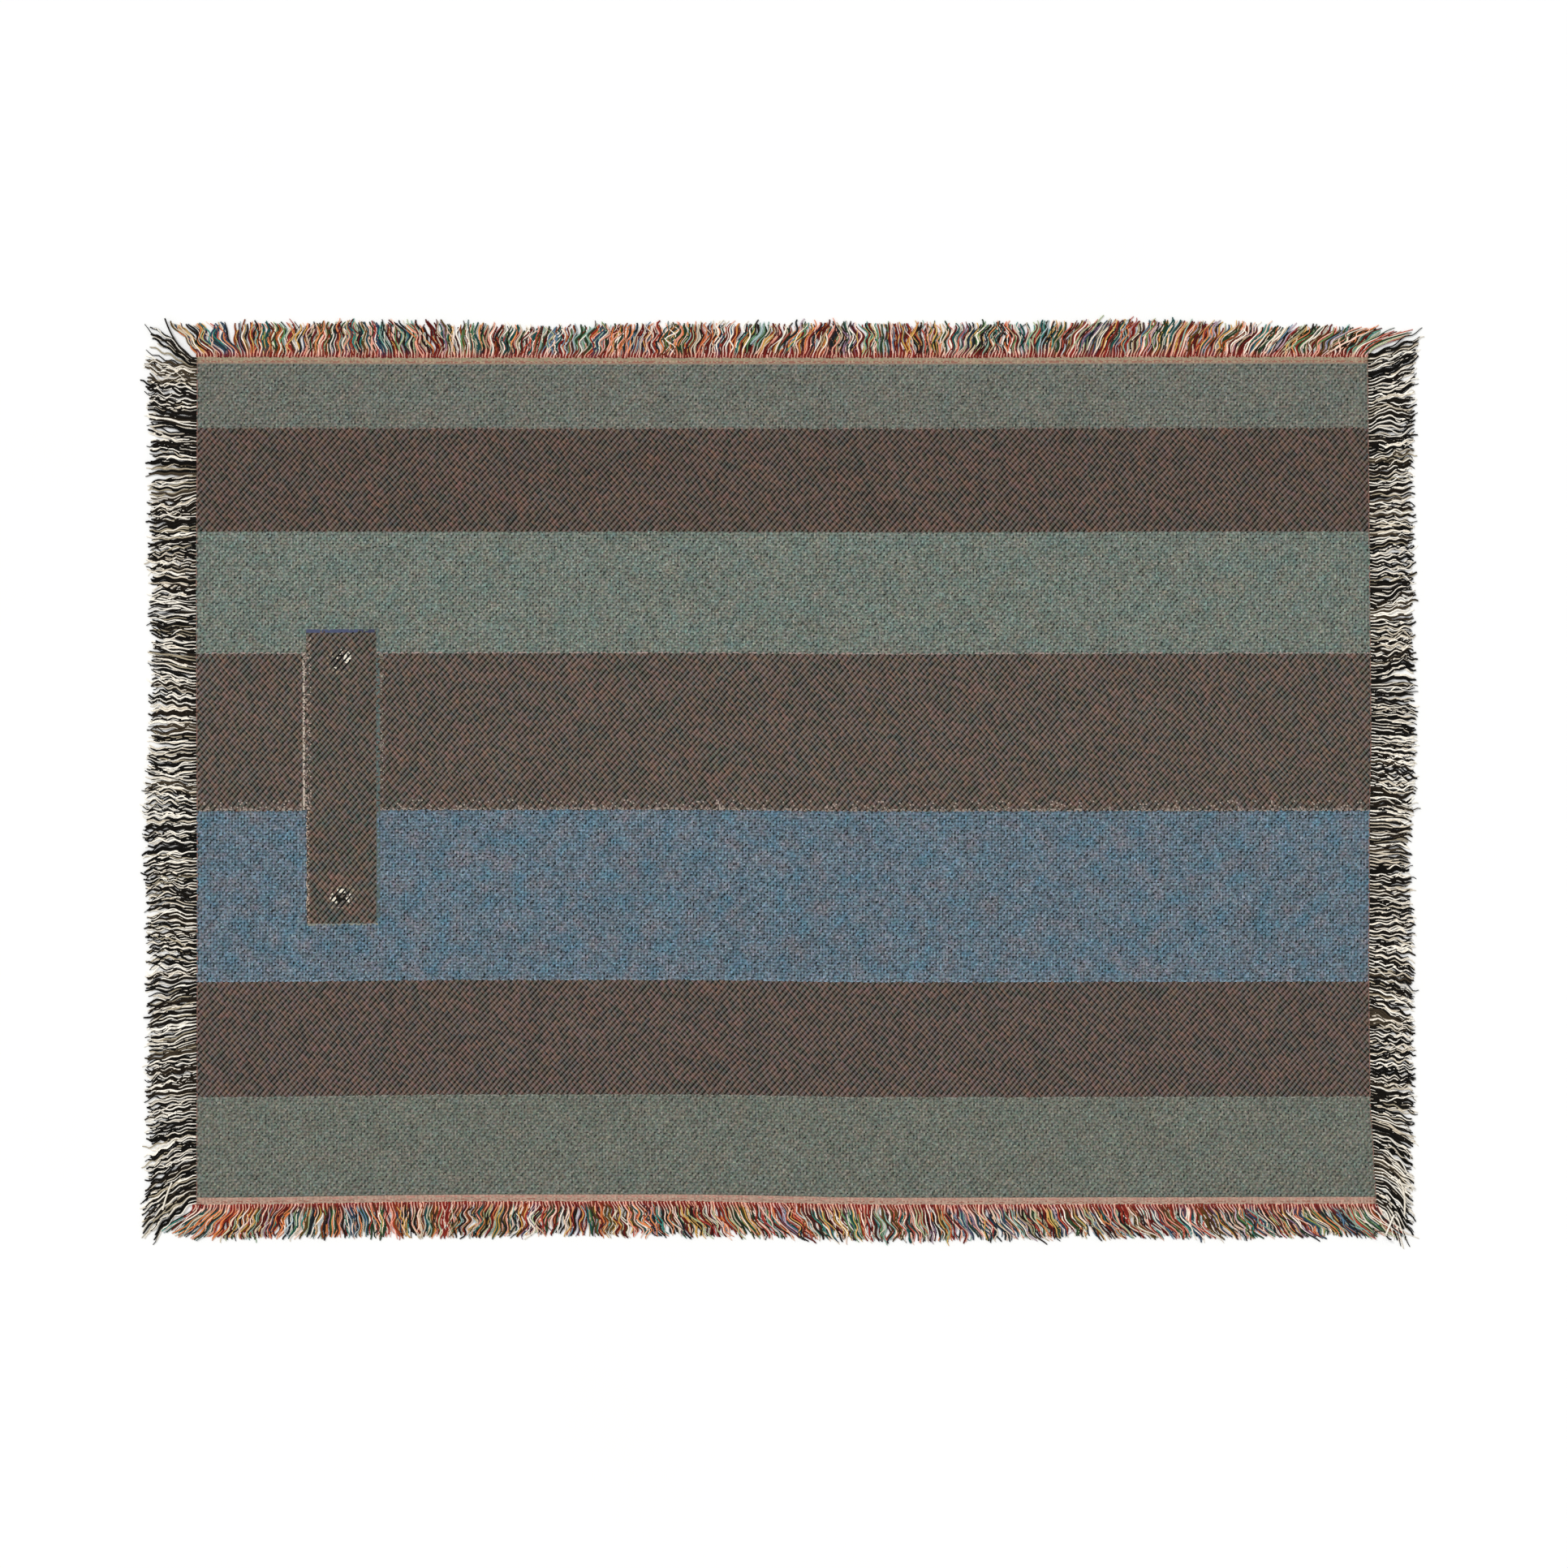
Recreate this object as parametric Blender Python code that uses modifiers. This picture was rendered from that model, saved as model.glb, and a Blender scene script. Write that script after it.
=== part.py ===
"""A striped woven throw laid flat, with a fringe along all four sides.

The cloth is one thin sheet. Along each of its sides runs a narrow strip, and the fringe grows out of that
strip as locks of yarn that rest on the surface and stand apart from each other. Lengths are in metres, +Z is
up, +X runs along the long side and +Y towards the top border. The underside is at z = 0, and the finished
throw is centred on the origin.
"""

from collections import namedtuple

import bmesh
import bpy
import numpy as np
from mathutils import Matrix

MM = 0.001

# The cloth.
LENGTH = 1.321
WIDTH = 0.937
THICK = 2.0 * MM
RIM_ROUND = 0.6 * MM
RIM_SEGMENTS = 2
EDGE_STEPS = 24

# The strips along the sides, and the gap that parts one piece from the next.
HEADING = 8.0 * MM
SELVEDGE = 3.6 * MM
STRIP_THICK = 2.0 * MM
SIDE_OVERRUN = 6.4 * MM
GAP = 0.3 * MM

# The locks. Heights are shares of a lock's own width.
LONG_LOCKS = 86
SHORT_LOCKS = 62
LOCK_GAP = 1.0 * MM
LOCK_HEIGHT = 0.215
LOCK_SHOULDER = 0.74
ROOT_DEPTH = 0.45
ROOT_WIDTH = 0.58
ROOT_RISE = 1.2 * MM
MID_STEPS = (0.36, 0.70)
LEAN_CURVE = 1.12
WAVE = 1.3 * MM
WAVE_TURNS = 9.0
REACH_VARIES = 1.3 * MM
TIP_VARIES = 1.2 * MM
TIP_TAPER = (0.80, 0.96)
LEAST_TIP_PITCH = 0.64
MID_TAPER = (1.0, 0.97)
WIDEST = 1.4
SPREAD_PASSES = 60
MERGE = 0.01 * MM
SEED = 7

# The four corners of the cloth. The right-hand side flares a little towards the bottom.
TOP_LEFT = (-LENGTH / 2, WIDTH / 2 + 0.9 * MM)
TOP_RIGHT = (LENGTH / 2 - 1.8 * MM, WIDTH / 2 + 0.9 * MM)
BOTTOM_LEFT = (-LENGTH / 2 - 0.5 * MM, -WIDTH / 2 - 0.9 * MM)
BOTTOM_RIGHT = (LENGTH / 2 + 7.3 * MM, -WIDTH / 2)

# How far each edge bows out of the straight line between its corners.
# Columns: share of the side, millimetres outwards.
TOP_BOW = ((0.0, 0.0), (0.25, -0.9), (0.60, -0.9), (0.85, 0.0), (1.0, 0.0))
BOTTOM_BOW = ((0.0, 0.0), (0.25, -3.3), (0.40, -3.3), (0.60, 0.6), (0.80, 0.3), (1.0, 0.0))
LEFT_BOW = ((0.0, 0.0), (0.30, 0.7), (0.65, -0.4), (1.0, 0.0))
RIGHT_BOW = ((0.0, 0.0), (0.42, -0.2), (0.60, -3.7), (0.75, -5.5), (0.88, -5.3), (0.95, -2.2), (1.0, 0.0))

# How each fringe lies. Columns: share of the side, millimetres that the tips reach beyond the strip,
# sideways travel for each millimetre outwards (to the right, or downwards on the two short sides).
TOP_LIE = (
    (0.00, 40, -1.00), (0.02, 39, -0.80), (0.045, 37, -0.10), (0.11, 38, 0.20), (0.17, 40, -0.30),
    (0.20, 38, -0.25), (0.26, 37, 0.10), (0.29, 34, 0.25), (0.35, 36, 0.35), (0.41, 38, 0.15),
    (0.50, 38, 0.50), (0.56, 38, 0.00), (0.62, 38, -0.05), (0.66, 37, 0.35), (0.695, 37, -0.05),
    (0.72, 39, 0.25), (0.75, 40, 0.60), (0.81, 40, 0.30), (0.87, 37, 0.60), (0.90, 34, 0.75),
    (0.96, 33, 0.85), (0.985, 31, 1.15), (1.00, 27, 1.90),
)
BOTTOM_LIE = (
    (0.00, 31, -1.30), (0.015, 35, -1.10), (0.03, 39, -0.75), (0.05, 39, -0.30), (0.08, 37, -0.35),
    (0.14, 38, 0.15), (0.20, 39, 0.00), (0.24, 39, -0.30), (0.30, 38, -0.10), (0.36, 38, 0.30),
    (0.45, 39, 0.55), (0.53, 40, 0.55), (0.57, 40, 0.22), (0.62, 41, 0.25), (0.69, 38, 0.65),
    (0.72, 37, 0.45), (0.77, 37, 0.75), (0.84, 39, 0.60), (0.90, 37, 0.80), (0.96, 37, 0.85),
    (0.985, 35, 0.65), (1.00, 34, 0.30),
)
LEFT_LIE = (
    (0.00, 41, -0.83), (0.02, 51, -0.54), (0.05, 51, -0.28), (0.12, 48, -0.05), (0.17, 48, 0.20),
    (0.24, 48, 0.05), (0.32, 46, -0.05), (0.36, 45, -0.20), (0.44, 48, 0.00), (0.52, 54, -0.05),
    (0.60, 54, 0.15), (0.68, 51, -0.10), (0.715, 51, 0.00), (0.74, 50, 0.25), (0.82, 51, 0.20),
    (0.90, 52, 0.20), (0.94, 50, 0.50), (0.97, 58, 0.62), (1.00, 55, 0.80),
)
RIGHT_LIE = (
    (0.00, 54, -0.43), (0.03, 49, -0.40), (0.06, 47, -0.20), (0.15, 45, -0.15), (0.20, 45, 0.00),
    (0.26, 44, -0.15), (0.36, 44, -0.10), (0.42, 46, 0.10), (0.50, 45, 0.15), (0.59, 40, 0.05),
    (0.68, 45, 0.05), (0.72, 46, 0.25), (0.75, 45, 0.35), (0.82, 45, 0.05), (0.88, 45, 0.25),
    (0.92, 39, 0.60), (0.96, 38, 0.80), (0.985, 38, 1.00), (1.00, 20, 1.75),
)

Side = namedtuple("Side", "name start end outward strip overrun locks bow lie")
SIDES = (
    Side("top_fringe", TOP_LEFT, TOP_RIGHT, (0, 1), HEADING, 0.0, LONG_LOCKS, TOP_BOW, TOP_LIE),
    Side("bottom_fringe", BOTTOM_LEFT, BOTTOM_RIGHT, (0, -1), HEADING, 0.0, LONG_LOCKS, BOTTOM_BOW, BOTTOM_LIE),
    Side("left_fringe", TOP_LEFT, BOTTOM_LEFT, (-1, 0), SELVEDGE, SIDE_OVERRUN, SHORT_LOCKS, LEFT_BOW, LEFT_LIE),
    Side("right_fringe", TOP_RIGHT, BOTTOM_RIGHT, (1, 0), SELVEDGE, SIDE_OVERRUN, SHORT_LOCKS, RIGHT_BOW, RIGHT_LIE),
)

# Columns: material name, base colour in linear values, roughness.
COTTON = ("woven cotton", (0.14, 0.13, 0.12, 1.0), 0.95)
WARP_YARN = ("coloured warp yarn", (0.26, 0.16, 0.12, 1.0), 0.95)
WEFT_YARN = ("black and cream weft yarn", (0.22, 0.20, 0.17, 1.0), 0.95)
YARNS = {
    "top_fringe": WARP_YARN, "bottom_fringe": WARP_YARN,
    "left_fringe": WEFT_YARN, "right_fringe": WEFT_YARN,
}


def clear_scene():
    for obj in list(bpy.context.scene.objects):
        bpy.data.objects.remove(obj)


def new_collection(name, helpers=False):
    collection = bpy.data.collections.new(name)
    collection.hide_render = helpers
    bpy.context.scene.collection.children.link(collection)
    return collection


def material(name, colour, roughness):
    made = bpy.data.materials.get(name)
    if made is None:
        made = bpy.data.materials.new(name)
        made.use_nodes = True
        shader = made.node_tree.nodes["Principled BSDF"]
        shader.inputs["Base Color"].default_value = colour
        shader.inputs["Roughness"].default_value = roughness
        made.diffuse_color = colour
    return made


def eased(table, shares):
    """The table's value at each share, easing in and out of every row."""
    rows = np.array(table)
    place = np.interp(shares, rows[:, 0], np.arange(len(rows)))
    row = np.minimum(place.astype(int), len(rows) - 2)
    ease = 0.5 - 0.5 * np.cos(np.pi * (place - row))
    return rows[row, 1] + (rows[row + 1, 1] - rows[row, 1]) * ease


def edge_line(side, shares, offset):
    """Points beside one edge of the cloth, this far outwards of it."""
    start, end, outward = (np.array(v, float) for v in (side.start, side.end, side.outward))
    out = eased(side.bow, np.clip(shares, 0.0, 1.0)) * MM + offset
    return start + np.outer(shares, end - start) + out[:, None] * outward


def overrun_share(side):
    """How far the strip runs past each end of the edge, as a share of the edge."""
    return side.overrun / np.hypot(*np.subtract(side.end, side.start))


def strip_shares(side):
    """The shares at which a strip turns: the cloth's own, and its two ends where it runs past them."""
    shares = np.linspace(0.0, 1.0, EDGE_STEPS + 1)
    over = overrun_share(side)
    return np.concatenate([[-over], shares, [1.0 + over]]) if over else shares


def outline_face(name, points, thickness, collection):
    """A flat sheet with this outline, thickened upwards from z = 0."""
    mesh = bpy.data.meshes.new(name)
    sheet = bmesh.new()
    face = sheet.faces.new([sheet.verts.new((x, y, 0.0)) for x, y in points])
    face.normal_update()
    if face.normal.z < 0:
        face.normal_flip()
    sheet.to_mesh(mesh)
    sheet.free()
    obj = bpy.data.objects.new(name, mesh)
    collection.objects.link(obj)
    solid = obj.modifiers.new("thickness", "SOLIDIFY")
    solid.thickness = thickness
    solid.offset = 1.0
    return obj


def make_cloth(collection):
    top, bottom, left, right = SIDES
    shares = np.linspace(0.0, 1.0, EDGE_STEPS + 1)
    outline = np.concatenate([
        edge_line(top, shares, 0.0)[:-1],
        edge_line(right, shares, 0.0)[:-1],
        edge_line(bottom, shares[::-1], 0.0)[:-1],
        edge_line(left, shares[::-1], 0.0)[:-1],
    ])
    cloth = outline_face("cloth", outline, THICK, collection)
    rim = cloth.modifiers.new("soft rim", "BEVEL")
    rim.width = RIM_ROUND
    rim.segments = RIM_SEGMENTS
    rim.limit_method = "ANGLE"
    cloth.data.materials.append(material(*COTTON))
    return cloth


def spread_apart(places, least):
    """Pushes neighbours away from each other until they stand at least this far apart."""
    places = places.copy()
    for _ in range(SPREAD_PASSES):
        short = np.maximum(least - np.diff(places), 0.0) / 2
        places[:-1] -= short
        places[1:] += short
    return places


def lock_paths(side, rng):
    """The middle line of every lock, as points: in the strip, at its edge, on the way and at the tip."""
    over = overrun_share(side)
    length = np.hypot(*np.subtract(side.end, side.start)) * (1 + 2 * over)
    pitch = length / side.locks
    middles = (np.arange(side.locks) + 0.5) / side.locks
    lie = np.array(side.lie)
    reach = np.interp(middles, lie[:, 0], lie[:, 1]) * MM + rng.uniform(-1, 1, side.locks) * REACH_VARIES
    lean = np.interp(middles, lie[:, 0], lie[:, 2])
    tips = middles * length + lean * reach + rng.uniform(-1, 1, side.locks) * TIP_VARIES
    travel = spread_apart(tips, pitch * LEAST_TIP_PITCH) - middles * length
    start, end, outward = (np.array(v, float) for v in (side.start, side.end, side.outward))
    along = (end - start) / np.hypot(*(end - start))
    edge = GAP + side.strip
    roots = edge_line(side, middles * (1 + 2 * over) - over, 0.0)
    wave = WAVE * np.sin(2 * np.pi * WAVE_TURNS * middles)
    steps = [(GAP + ROOT_DEPTH * side.strip, 0.0), (edge + ROOT_RISE, 0.0)]
    steps += [(edge + reach * t, travel * t ** LEAN_CURVE + wave * np.sin(2 * np.pi * t)) for t in MID_STEPS]
    steps += [(edge + reach, travel)]
    lines = [
        roots + np.outer(np.broadcast_to(out, side.locks), outward) + np.outer(np.broadcast_to(over_by, side.locks), along)
        for out, over_by in steps
    ]
    return np.stack(lines, axis=1), pitch


def lock_widths(paths, pitch, rng):
    """The room between each lock and its neighbours, less a gap, at every point of its middle line."""
    runs = np.gradient(paths, axis=1)
    runs /= np.linalg.norm(runs, axis=2, keepdims=True)
    across = np.stack([-runs[..., 1], runs[..., 0]], axis=2)
    apart = paths[1:] - paths[:-1]
    between = np.minimum(*(np.abs((apart * side).sum(axis=2)) for side in (across[:-1], across[1:])))
    room = np.full(paths.shape[:2], pitch * WIDEST)
    room[:-1] = np.minimum(room[:-1], between)
    room[1:] = np.minimum(room[1:], between)
    widths = room - LOCK_GAP
    widths[:, 0] = pitch * ROOT_WIDTH
    widths[:, 2:4] *= MID_TAPER
    widths[:, 4] *= rng.uniform(*TIP_TAPER, len(paths))
    return widths


def flat_bottomed_profile(guides):
    """A cross-section one metre wide, so that a point's radius on a curve is the lock's width there."""
    data = bpy.data.curves.new("lock section", "CURVE")
    data.dimensions = "2D"
    top = LOCK_SHOULDER / 2
    corners = ((-0.5, 0.0), (0.5, 0.0), (top, LOCK_HEIGHT), (-top, LOCK_HEIGHT))
    spline = data.splines.new("POLY")
    spline.points.add(len(corners) - 1)
    for point, (x, y) in zip(spline.points, corners):
        point.co = (x, y, 0.0, 1.0)
    spline.use_cyclic_u = True
    profile = bpy.data.objects.new("lock section", data)
    guides.objects.link(profile)
    profile.hide_render = True
    profile.display_type = "WIRE"
    return profile


def as_mesh(curve_object, guides):
    """Makes the curve a closed mesh facing out, and removes the curve."""
    graph = bpy.context.evaluated_depsgraph_get()
    mesh = bpy.data.meshes.new_from_object(curve_object.evaluated_get(graph))
    body = bmesh.new()
    body.from_mesh(mesh)
    bmesh.ops.remove_doubles(body, verts=body.verts, dist=MERGE)
    bmesh.ops.recalc_face_normals(body, faces=body.faces)
    body.to_mesh(mesh)
    body.free()
    obj = bpy.data.objects.new(curve_object.name + " body", mesh)
    guides.objects.link(obj)
    obj.hide_render = True
    obj.display_type = "WIRE"
    bpy.data.objects.remove(curve_object)
    return obj


def make_locks(side, profile, guides, rng):
    paths, pitch = lock_paths(side, rng)
    widths = lock_widths(paths, pitch, rng)
    data = bpy.data.curves.new(side.name + " locks", "CURVE")
    data.dimensions = "3D"
    data.twist_mode = "Z_UP"
    data.bevel_mode = "OBJECT"
    data.bevel_object = profile
    data.use_fill_caps = True
    for path, width in zip(paths, widths):
        spline = data.splines.new("POLY")
        spline.points.add(len(path) - 1)
        for point, (x, y), radius in zip(spline.points, path, width):
            point.co = (x, y, 0.0, 1.0)
            point.radius = radius
    curve_object = bpy.data.objects.new(side.name + " locks", data)
    guides.objects.link(curve_object)
    bpy.context.view_layer.update()
    return as_mesh(curve_object, guides)


def make_fringe(side, profile, collection, guides, rng):
    shares = strip_shares(side)
    inner = edge_line(side, shares, GAP)
    outer = edge_line(side, shares[::-1], GAP + side.strip)
    strip = outline_face(side.name, np.concatenate([inner, outer]), STRIP_THICK, collection)
    join = strip.modifiers.new("locks join the strip", "BOOLEAN")
    join.operation = "UNION"
    join.solver = "EXACT"
    join.object = make_locks(side, profile, guides, rng)
    strip.data.materials.append(material(*YARNS[side.name]))
    return strip


def centre_on_origin(nodes, guides):
    """Moves every mesh so that the box round the whole throw is centred on the origin."""
    graph = bpy.context.evaluated_depsgraph_get()
    corners = np.array([
        node.matrix_world @ vertex.co
        for node in nodes
        for vertex in node.evaluated_get(graph).data.vertices
    ])
    middle = (corners.min(axis=0) + corners.max(axis=0)) / 2
    move = Matrix.Translation((-middle[0], -middle[1], 0.0))
    for obj in [*nodes, *guides.objects]:
        if obj.type == "MESH":
            obj.data.transform(move)


def main():
    clear_scene()
    throw = new_collection("fringed woven throw")
    guides = new_collection("guides", helpers=True)
    rng = np.random.default_rng(SEED)
    profile = flat_bottomed_profile(guides)
    nodes = [make_cloth(throw)]
    nodes += [make_fringe(side, profile, throw, guides, rng) for side in SIDES]
    bpy.context.view_layer.update()
    centre_on_origin(nodes, guides)


main()
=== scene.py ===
# %% [markdown]
# # A striped woven throw, laid flat
#
# The real object is a cotton throw woven on a jacquard loom: seven stripes in green, brown and blue, a narrow
# plain-woven border at the top and bottom, and a fringe on all four sides. The warp threads of every colour
# make the top and bottom fringe. The weft threads, black and cream, make the fringe at the left and right.
#
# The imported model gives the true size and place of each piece. This lesson puts the cloth, the yarn and their
# colours on it.

import math

import bpy
import numpy as np
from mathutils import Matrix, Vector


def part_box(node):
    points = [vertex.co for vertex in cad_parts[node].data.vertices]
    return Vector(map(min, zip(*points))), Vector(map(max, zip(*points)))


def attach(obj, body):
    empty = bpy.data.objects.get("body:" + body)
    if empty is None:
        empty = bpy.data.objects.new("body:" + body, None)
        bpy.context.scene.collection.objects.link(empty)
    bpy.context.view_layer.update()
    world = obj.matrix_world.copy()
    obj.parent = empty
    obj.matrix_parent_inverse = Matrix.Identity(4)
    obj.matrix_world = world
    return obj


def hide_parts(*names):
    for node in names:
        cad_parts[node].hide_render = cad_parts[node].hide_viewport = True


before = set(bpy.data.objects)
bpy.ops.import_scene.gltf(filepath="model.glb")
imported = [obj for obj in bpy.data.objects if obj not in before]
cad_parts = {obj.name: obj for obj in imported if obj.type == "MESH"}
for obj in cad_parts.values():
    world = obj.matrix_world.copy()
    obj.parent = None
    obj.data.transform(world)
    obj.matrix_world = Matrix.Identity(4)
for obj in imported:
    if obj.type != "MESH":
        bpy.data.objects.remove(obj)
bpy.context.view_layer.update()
MM = 0.001
print("nodes:", sorted(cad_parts))

# %% [markdown]
# ## The outline of the cloth
#
# A cloth is never quite a rectangle. The bottom edge of this one bows inwards by 3 mm, and the right-hand side
# flares towards the bottom corner. A four-point rectangle would miss that, and a traced outline would be a long
# list of numbers that nobody can read or change. So each edge is a straight line between two corners plus a
# short table that says how far it bows.

# %% The corners and the bows
# In metres: the cloth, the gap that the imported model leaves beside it, and the width of the strips that hold the
# yarn, at the top and bottom and at the left and right.
LENGTH, WIDTH, THICK = 1.321, 0.937, 0.002
GAP = 0.3 * MM
HEADING, SELVEDGE = 8.0 * MM, 3.6 * MM

TOP_LEFT = (-LENGTH / 2, WIDTH / 2 + 0.9 * MM)
TOP_RIGHT = (LENGTH / 2 - 1.8 * MM, WIDTH / 2 + 0.9 * MM)
BOTTOM_LEFT = (-LENGTH / 2 - 0.5 * MM, -WIDTH / 2 - 0.9 * MM)
BOTTOM_RIGHT = (LENGTH / 2 + 7.3 * MM, -WIDTH / 2)

# Columns: share of the side, millimetres outwards.
BOWS = {
    "top": ((0.0, 0.0), (0.25, -0.9), (0.60, -0.9), (0.85, 0.0), (1.0, 0.0)),
    "bottom": ((0.0, 0.0), (0.25, -3.3), (0.40, -3.3), (0.60, 0.6), (0.80, 0.3), (1.0, 0.0)),
    "left": ((0.0, 0.0), (0.30, 0.7), (0.65, -0.4), (1.0, 0.0)),
    "right": ((0.0, 0.0), (0.42, -0.2), (0.60, -3.7), (0.75, -5.5), (0.88, -5.3), (0.95, -2.2), (1.0, 0.0)),
}

# Columns: first corner, last corner, outward direction, width of the strip beside the cloth, how far the fringe
# runs past each corner, how far from the cloth's edge the yarn comes out of the weave.
SIDES = {
    "top": (TOP_LEFT, TOP_RIGHT, (0, 1), HEADING, 0.0, HEADING),
    "bottom": (BOTTOM_LEFT, BOTTOM_RIGHT, (0, -1), HEADING, 3.0 * MM, HEADING + 0.6 * MM),
    "left": (TOP_LEFT, BOTTOM_LEFT, (-1, 0), SELVEDGE, 6.4 * MM, 0.0),
    "right": (TOP_RIGHT, BOTTOM_RIGHT, (1, 0), SELVEDGE, 11.0 * MM, 0.0),
}
print("sides:", ", ".join(SIDES))


# %% Points along an edge
def eased(table, shares):
    """The table's value at each share. Between two rows the value follows half a cosine wave."""
    rows = np.array(table)
    place = np.interp(shares, rows[:, 0], np.arange(len(rows)))
    row = np.minimum(place.astype(int), len(rows) - 2)
    ease = 0.5 - 0.5 * np.cos(np.pi * (place - row))
    return rows[row, 1] + (rows[row + 1, 1] - rows[row, 1]) * ease


def edge_line(side, shares, offset, home):
    """First corner plus share times the way to the last one, plus the bow and the offset, outwards."""
    first, last, outward = (np.array(v, float) for v in SIDES[side][:3])
    shares, offset = np.broadcast_arrays(np.asarray(shares, float), offset)
    out = eased(BOWS[side], np.clip(shares, 0, 1)) * MM + offset
    return home + first + shares[..., None] * (last - first) + out[..., None] * outward


def side_length(side):
    """The straight way between the two corners of a side, in metres."""
    return np.hypot(*np.subtract(*SIDES[side][:2]))


POINTS_PER_SIDE = 97
ring = np.concatenate([edge_line(side, np.linspace(0, 1, POINTS_PER_SIDE), 0.0, np.zeros(2)) for side in SIDES])
HOME = np.array(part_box("cloth")[0])[:2] - ring.min(axis=0)
print("the outline moves by", (HOME / MM).round(2), "mm to lie on the packed cloth")

# %% [markdown]
# ## Camera, light and floor
#
# The throw is seen straight from above. The camera stands 4.2 m up with an 85 mm lens, so that the edges don't
# look drawn in. A pale floor and light from all round give soft shadows, and one wide soft light from the top
# left lets the ribs of the weave and the yarn stand out.


# %% Camera straight above the throw
def placed(name, data):
    """A new object with these data, in the scene."""
    thing = bpy.data.objects.new(name, data)
    bpy.context.scene.collection.objects.link(thing)
    return thing


# Metres for each pixel of the photo, the pixel where the cloth's top left corner lies, and the photo's width.
PHOTO_SCALE = 0.9129 * MM
CORNER_PIXEL = (241.5, 447.5)
FRAME_PIXELS = 1932

to_middle = (FRAME_PIXELS / 2 - np.array(CORNER_PIXEL)) * PHOTO_SCALE
middle = HOME + TOP_LEFT + to_middle * (1, -1)
lens = bpy.data.cameras.new("camera")
lens.lens, lens.sensor_width, lens.clip_end = 85, 36, 20
height = FRAME_PIXELS * PHOTO_SCALE * lens.lens / lens.sensor_width
camera = placed("camera", lens)
camera.location = (*middle, height + THICK)
bpy.context.scene.camera = camera
bpy.context.scene.view_settings.view_transform = "Standard"
print("camera at", [round(v, 3) for v in camera.location])

# %% Light from all round and from the top left
sky = bpy.data.worlds.new("soft room light")
sky.use_nodes = True
sky.node_tree.nodes["Background"].inputs["Color"].default_value = (1.0, 1.0, 1.0, 1.0)
sky.node_tree.nodes["Background"].inputs["Strength"].default_value = 0.78
bpy.context.scene.world = sky
WINDOW_LEAN, WINDOW_SPREAD = math.radians(-34), math.radians(20)
window_light = bpy.data.lights.new("window", "SUN")
window_light.energy, window_light.angle = 1.42, WINDOW_SPREAD
window = placed("window", window_light)
window.rotation_euler = (WINDOW_LEAN, WINDOW_LEAN, 0)
print("lights:", sky.name, "and", window.name)

# %% [markdown]
# ## Helpers for meshes and materials
#
# Every piece here is a whole array of points and faces, worked out at once and handed to Blender. One helper
# makes the mesh, its UV map and its colours. The others turn screen colours into the values that Blender mixes,
# and add a node in one line.


# %% Make a piece from arrays
def make_piece(name, points, faces, uv, finish, colours=None):
    """faces is a list of index arrays, one for each number of corners, and uv has a row for each face corner."""
    mesh = bpy.data.meshes.new(name)
    mesh.from_pydata(points.tolist(), [], [corners for group in faces for corners in group.tolist()])
    mesh.uv_layers.new(name="UVMap").data.foreach_set("uv", uv.astype(np.float32).ravel())
    if colours is not None:
        layer = mesh.color_attributes.new("yarn", "FLOAT_COLOR", "POINT")
        layer.data.foreach_set("color", colours.astype(np.float32).ravel())
    mesh.polygons.foreach_set("use_smooth", np.ones(len(mesh.polygons), bool))
    mesh.materials.append(finish)
    piece = placed(name, mesh)
    mesh.calc_loop_triangles()
    print(name, "has", len(mesh.loop_triangles), "triangles")
    return piece


# %% Colours and nodes
def linear(code):
    """A hex colour as a screen shows it, as the linear values that Blender mixes, with alpha 1."""
    screen = np.array([int(code[i : i + 2], 16) for i in (1, 3, 5)]) / 255
    light = np.where(screen <= 0.04045, screen / 12.92, ((screen + 0.055) / 1.055) ** 2.4)
    return (*light.tolist(), 1.0)


def fill(tree, node, inputs):
    """Links a socket to each named or numbered input of the node, or sets its value."""
    for socket, value in inputs.items():
        if isinstance(value, bpy.types.NodeSocket):
            tree.links.new(value, node.inputs[socket])
        else:
            node.inputs[socket].default_value = value


def add(tree, kind, inputs, out=0, **settings):
    """Adds a node with its settings, fills its inputs, and returns one of its outputs."""
    node = tree.nodes.new("ShaderNode" + kind)
    for setting, value in settings.items():
        setattr(node, setting, value)
    fill(tree, node, inputs)
    return node.outputs[out]


def maths(tree, operation, *values):
    """The result of a Math node for these values."""
    return add(tree, "Math", dict(enumerate(values)), operation=operation)


def set_stops(ramp, stops):
    """Gives a colour ramp these stops. Columns: place from 0 to 1, red, green, blue, alpha."""
    elements = ramp.node.color_ramp.elements
    while len(elements) > 1:
        elements.remove(elements[-1])
    for number, (place, *colour) in enumerate(stops):
        stop = elements[0] if number == 0 else elements.new(place)
        stop.position, stop.color = place, colour


def new_material(name):
    material = bpy.data.materials.new(name)
    material.use_nodes = True
    return material, material.node_tree, material.node_tree.nodes["Principled BSDF"]


print("a mid grey in linear values:", [round(v, 3) for v in linear("#808080")])

# %% A pale painted floor
# In metres: from the middle to each side, and how far the floor lies below the cloth.
FLOOR_REACH, FLOOR_DROP = 6, 0.2 * MM
floor_paint, tree, shader = new_material("matt white floor paint")
roller = add(tree, "TexNoise", {"Vector": add(tree, "TexCoord", {}, out="Object"), "Scale": 3.0})
shade = add(tree, "ValToRGB", {"Fac": roller})
set_stops(shade, [(0.3, 0.925, 0.925, 0.915, 1), (0.7, 0.94, 0.94, 0.93, 1)])
fill(tree, shader, {"Base Color": shade, "Roughness": 0.9, "Specular IOR Level": 0.1})
slab = bpy.data.meshes.new("floor")
corners = [(x * FLOOR_REACH, y * FLOOR_REACH, -FLOOR_DROP) for x, y in ((-1, -1), (1, -1), (1, 1), (-1, 1))]
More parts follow.
